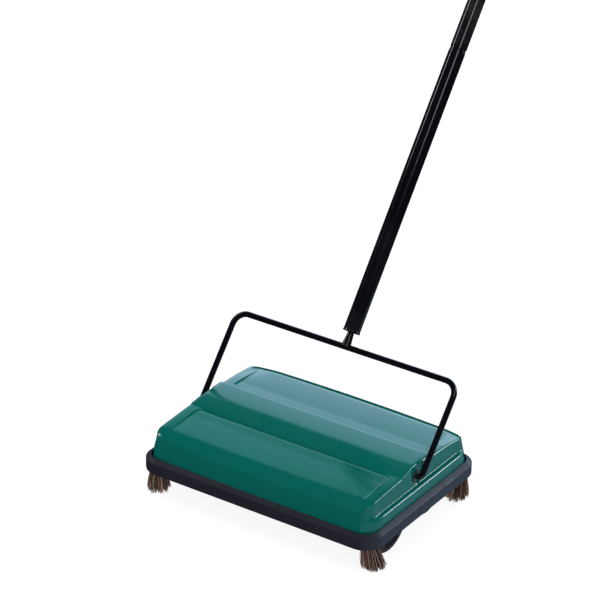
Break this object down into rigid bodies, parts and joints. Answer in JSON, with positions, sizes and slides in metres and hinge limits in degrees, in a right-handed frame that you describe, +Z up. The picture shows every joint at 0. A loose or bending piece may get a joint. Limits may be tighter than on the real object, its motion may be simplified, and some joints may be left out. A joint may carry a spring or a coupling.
{
  "type": "carpet sweeper",
  "caption": "Push-along carpet sweeper: low enamelled steel head over a wheel-driven brush roll and tipping dust pans, bumper with corner tufts, wire bail and long tube handle.",
  "frame": {"origin": "on the floor under the middle of the head", "axes": "+X along the brush roll towards the right end of the head, +Y towards the side the handle leans to at rest, +Z up"},
  "size_m": [0.318, 0.8499, 1.022],
  "materials": {
    "green_enamel": "glossy stoved enamel",
    "black_enamel": "glossy black enamel",
    "bumper_vinyl": "soft moulded vinyl, semi-matt",
    "plate_steel": "plain rolled sheet",
    "zinc_wire": "zinc plated",
    "comb_plastic": "moulded, matt",
    "pan_plastic": "moulded, matt",
    "brush_wood": "turned, unvarnished",
    "brush_bristle": "natural bristle",
    "tuft_bristle": "natural bristle",
    "sleeve_rubber": "grooved rubber",
    "tyre_rubber": "smooth rubber",
    "wheel_plastic": "moulded, satin",
    "nylon": "moulded nylon",
    "plug_plastic": "moulded, satin",
    "grip_vinyl": "soft dipped vinyl",
    "cap_plastic": "moulded, glossy"
  },
  "bodies": {
    "head": {"top_cover": "green_enamel", "bumper": "bumper_vinyl", "end_plate_left": "plate_steel", "end_plate_right": "plate_steel", "comb_front": "comb_plastic", "comb_rear": "comb_plastic", "pan_rod_front": "zinc_wire", "pan_rod_rear": "zinc_wire", "pan_spring_front": "zinc_wire", "pan_spring_rear": "zinc_wire", "brush_bearings": "nylon", "wheel_axles": "zinc_wire", "axle_caps": "zinc_wire", "wheel_spring_left": "zinc_wire", "wheel_spring_right": "zinc_wire", "tuft_front_left": "tuft_bristle", "tuft_front_right": "tuft_bristle", "tuft_rear_left": "tuft_bristle", "tuft_rear_right": "tuft_bristle", "tuft_plugs": "wheel_plastic", "bail_bushes": "nylon"},
    "brush": {"brush_core": "brush_wood", "brush_bristles": "brush_bristle", "brush_axle": "zinc_wire", "drive_sleeve_left": "sleeve_rubber", "drive_sleeve_right": "sleeve_rubber"},
    "handle": {"bail": "black_enamel", "bail_retainers": "zinc_wire", "handle_stud": "black_enamel", "tube_plug": "plug_plastic", "lower_tube": "black_enamel", "middle_tube": "black_enamel", "upper_tube": "black_enamel", "hand_grip": "grip_vinyl", "hang_loop": "cap_plastic"},
    "front_dust_pan": {"front_pan": "pan_plastic"},
    "rear_dust_pan": {"rear_pan": "pan_plastic"},
    "front_left_wheel": {"wheel_front_left": "wheel_plastic", "tyre_front_left": "tyre_rubber"},
    "front_right_wheel": {"wheel_front_right": "wheel_plastic", "tyre_front_right": "tyre_rubber"},
    "rear_left_wheel": {"wheel_rear_left": "wheel_plastic", "tyre_rear_left": "tyre_rubber"},
    "rear_right_wheel": {"wheel_rear_right": "wheel_plastic", "tyre_rear_right": "tyre_rubber"}
  },
  "joints": [
    {"name": "bail_swing", "type": "hinge", "parent": "head", "child": "handle", "pos_m": [0, 0, 0.0755], "axis": [1, 0, 0], "range_deg": [-48, 128]},
    {"name": "brush_spin", "type": "hinge", "parent": "head", "child": "brush", "pos_m": [0, 0, 0.032], "axis": [1, 0, 0], "continuous": true},
    {"name": "front_pan_tilt", "type": "hinge", "parent": "head", "child": "front_dust_pan", "pos_m": [0, -0.095, 0.03], "axis": [-1, 0, 0], "range_deg": [0, 50], "stiffness_Nm_per_rad": 0.06, "springref_deg": -45.84},
    {"name": "rear_pan_tilt", "type": "hinge", "parent": "head", "child": "rear_dust_pan", "pos_m": [0, 0.095, 0.03], "axis": [1, 0, 0], "range_deg": [0, 50], "stiffness_Nm_per_rad": 0.06, "springref_deg": -45.84},
    {"name": "front_right_wheel_spin", "type": "hinge", "parent": "head", "child": "front_right_wheel", "pos_m": [0.1364, -0.046, 0.0365], "axis": [1, 0, 0], "continuous": true},
    {"name": "rear_left_wheel_spin", "type": "hinge", "parent": "head", "child": "rear_left_wheel", "pos_m": [-0.1364, 0.046, 0.0365], "axis": [1, 0, 0], "continuous": true},
    {"name": "front_left_wheel_spin", "type": "hinge", "parent": "head", "child": "front_left_wheel", "pos_m": [-0.1276, -0.046, 0.0365], "axis": [1, 0, 0], "continuous": true},
    {"name": "rear_right_wheel_spin", "type": "hinge", "parent": "head", "child": "rear_right_wheel", "pos_m": [0.1276, 0.046, 0.0365], "axis": [1, 0, 0], "continuous": true}
  ],
  "couplings": [
    {"joint": "front_right_wheel_spin", "follows": "brush_spin", "ratio": -0.2575},
    {"joint": "rear_left_wheel_spin", "follows": "brush_spin", "ratio": -0.2575},
    {"joint": "front_left_wheel_spin", "follows": "brush_spin", "ratio": -0.2575},
    {"joint": "rear_right_wheel_spin", "follows": "brush_spin", "ratio": -0.2575}
  ]
}
